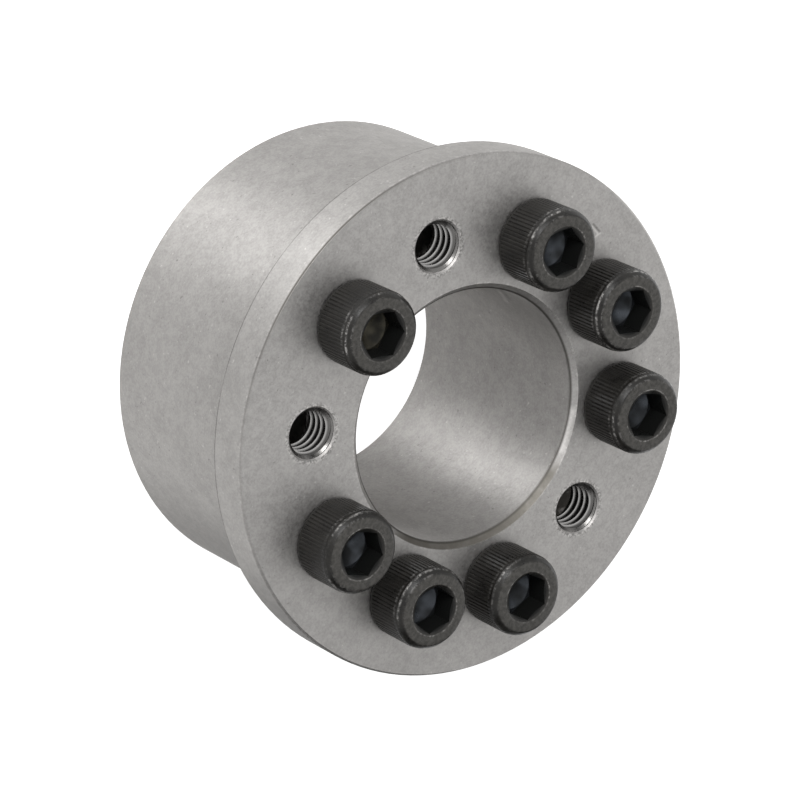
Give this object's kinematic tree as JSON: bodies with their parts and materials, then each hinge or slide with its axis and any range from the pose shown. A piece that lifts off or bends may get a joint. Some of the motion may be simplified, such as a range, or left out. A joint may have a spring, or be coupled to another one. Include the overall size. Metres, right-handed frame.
{
  "type": "shaft locking assembly",
  "caption": "Flanged keyless locking bush: an inner ring wedges in a slit outer ring on a slow taper, drawn together by socket-head screws, with jack threads for release.",
  "frame": {"origin": "on the shaft axis, in the plane of the outer ring's rear face, on which the part stands", "axes": "+Z along the shaft axis towards the flange and the screw heads; -Y towards the lone screw between two jack threads"},
  "size_m": [0.062, 0.062, 0.037],
  "materials": {
    "ring_steel": "fine machined steel, satin, left bare",
    "black_oxide": "black oxide, lightly oiled"
  },
  "bodies": {
    "outer_ring": {"outer_ring": "ring_steel"},
    "flanged_inner_ring": {"flanged_inner_ring": "ring_steel"},
    "clamp_screw_1": {"clamp_screw_1": "black_oxide"},
    "clamp_screw_2": {"clamp_screw_2": "black_oxide"},
    "clamp_screw_3": {"clamp_screw_3": "black_oxide"},
    "clamp_screw_4": {"clamp_screw_4": "black_oxide"},
    "clamp_screw_5": {"clamp_screw_5": "black_oxide"},
    "clamp_screw_6": {"clamp_screw_6": "black_oxide"},
    "clamp_screw_7": {"clamp_screw_7": "black_oxide"}
  },
  "joints": [
    {"name": "taper_release", "type": "slide", "parent": "outer_ring", "child": "flanged_inner_ring", "axis": [0, 0, 1], "range_m": [0, 0.004]},
    {"name": "screw_1_turn", "type": "hinge", "parent": "flanged_inner_ring", "child": "clamp_screw_1", "pos_m": [0, -0.0215, 0.031], "axis": [0, 0, 1], "range_deg": [0, 1441]},
    {"name": "screw_2_turn", "type": "hinge", "parent": "flanged_inner_ring", "child": "clamp_screw_2", "pos_m": [0.02045, -0.00664, 0.031], "axis": [0, 0, 1], "range_deg": [0, 1441]},
    {"name": "screw_3_turn", "type": "hinge", "parent": "flanged_inner_ring", "child": "clamp_screw_3", "pos_m": [0.02045, 0.00664, 0.031], "axis": [0, 0, 1], "range_deg": [0, 1441]},
    {"name": "screw_4_turn", "type": "hinge", "parent": "flanged_inner_ring", "child": "clamp_screw_4", "pos_m": [0.01264, 0.01739, 0.031], "axis": [0, 0, 1], "range_deg": [0, 1441]},
    {"name": "screw_5_turn", "type": "hinge", "parent": "flanged_inner_ring", "child": "clamp_screw_5", "pos_m": [-0.01264, 0.01739, 0.031], "axis": [0, 0, 1], "range_deg": [0, 1441]},
    {"name": "screw_6_turn", "type": "hinge", "parent": "flanged_inner_ring", "child": "clamp_screw_6", "pos_m": [-0.02045, 0.00664, 0.031], "axis": [0, 0, 1], "range_deg": [0, 1441]},
    {"name": "screw_7_turn", "type": "hinge", "parent": "flanged_inner_ring", "child": "clamp_screw_7", "pos_m": [-0.02045, -0.00664, 0.031], "axis": [0, 0, 1], "range_deg": [0, 1441]}
  ],
  "couplings": [
    {"joint": "screw_1_turn", "follows": "taper_release", "rad_per_m": 6283.2},
    {"joint": "screw_2_turn", "follows": "taper_release", "rad_per_m": 6283.2},
    {"joint": "screw_3_turn", "follows": "taper_release", "rad_per_m": 6283.2},
    {"joint": "screw_4_turn", "follows": "taper_release", "rad_per_m": 6283.2},
    {"joint": "screw_5_turn", "follows": "taper_release", "rad_per_m": 6283.2},
    {"joint": "screw_6_turn", "follows": "taper_release", "rad_per_m": 6283.2},
    {"joint": "screw_7_turn", "follows": "taper_release", "rad_per_m": 6283.2}
  ]
}
